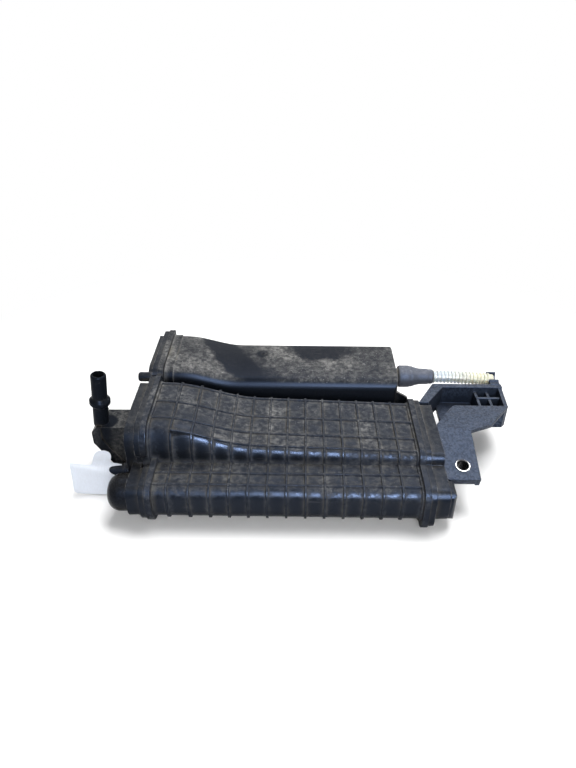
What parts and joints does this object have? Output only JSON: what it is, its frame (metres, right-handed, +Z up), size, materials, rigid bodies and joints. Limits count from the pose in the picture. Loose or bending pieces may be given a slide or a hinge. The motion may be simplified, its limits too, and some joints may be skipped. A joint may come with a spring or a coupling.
{
  "type": "charcoal canister",
  "caption": "Fuel vapour canister with side-by-side carbon chambers, a ribbed body, upright quick-connect port, corrugated vent line and bolt-on bracket.",
  "frame": {"origin": "centre of the bounding box at the base plane the flanges stand on", "axes": "+X along the chambers towards the bracket, +Y towards the rear chamber, +Z up"},
  "size_m": [0.3492, 0.1814, 0.0921],
  "materials": {
    "ribbed_plastic": "moulded, ribbed, dusty on top",
    "rear_plastic": "smooth moulded, dusty with wiped patches",
    "lid_plastic": "moulded, dusty",
    "port_plastic": "clean moulded, slight gloss",
    "bracket_plastic": "grained moulded",
    "sleeve_steel": "plated",
    "bumper_rubber": "dusty rubber",
    "boot_rubber": "dusty grey rubber",
    "tube_plastic": "translucent corrugated",
    "tag_paper": "bare paper",
    "carbon": "packed granules",
    "fleece": "needled fleece",
    "plate_plastic": "moulded",
    "spring_steel": "spring wire"
  },
  "bodies": {
    "root": {"canister_body": "ribbed_plastic", "rear_chamber": "rear_plastic", "left_lid": "lid_plastic", "right_lid": "lid_plastic", "port_cover": "port_plastic", "mounting_bracket": "bracket_plastic", "bracket_sleeve": "sleeve_steel", "end_bumper": "bumper_rubber", "hose_boot": "boot_rubber", "vent_tube": "tube_plastic", "paper_tag": "tag_paper", "main_bed": "carbon", "front_bed": "carbon", "rear_bed": "carbon", "main_inlet_fleece": "fleece", "front_inlet_fleece": "fleece", "rear_inlet_fleece": "fleece", "main_outlet_fleece": "fleece", "front_outlet_fleece": "fleece", "rear_outlet_fleece": "fleece", "main_plate": "plate_plastic", "front_plate": "plate_plastic", "rear_plate": "plate_plastic", "main_springs": "spring_steel", "front_spring": "spring_steel", "rear_spring": "spring_steel"}
  },
  "joints": []
}
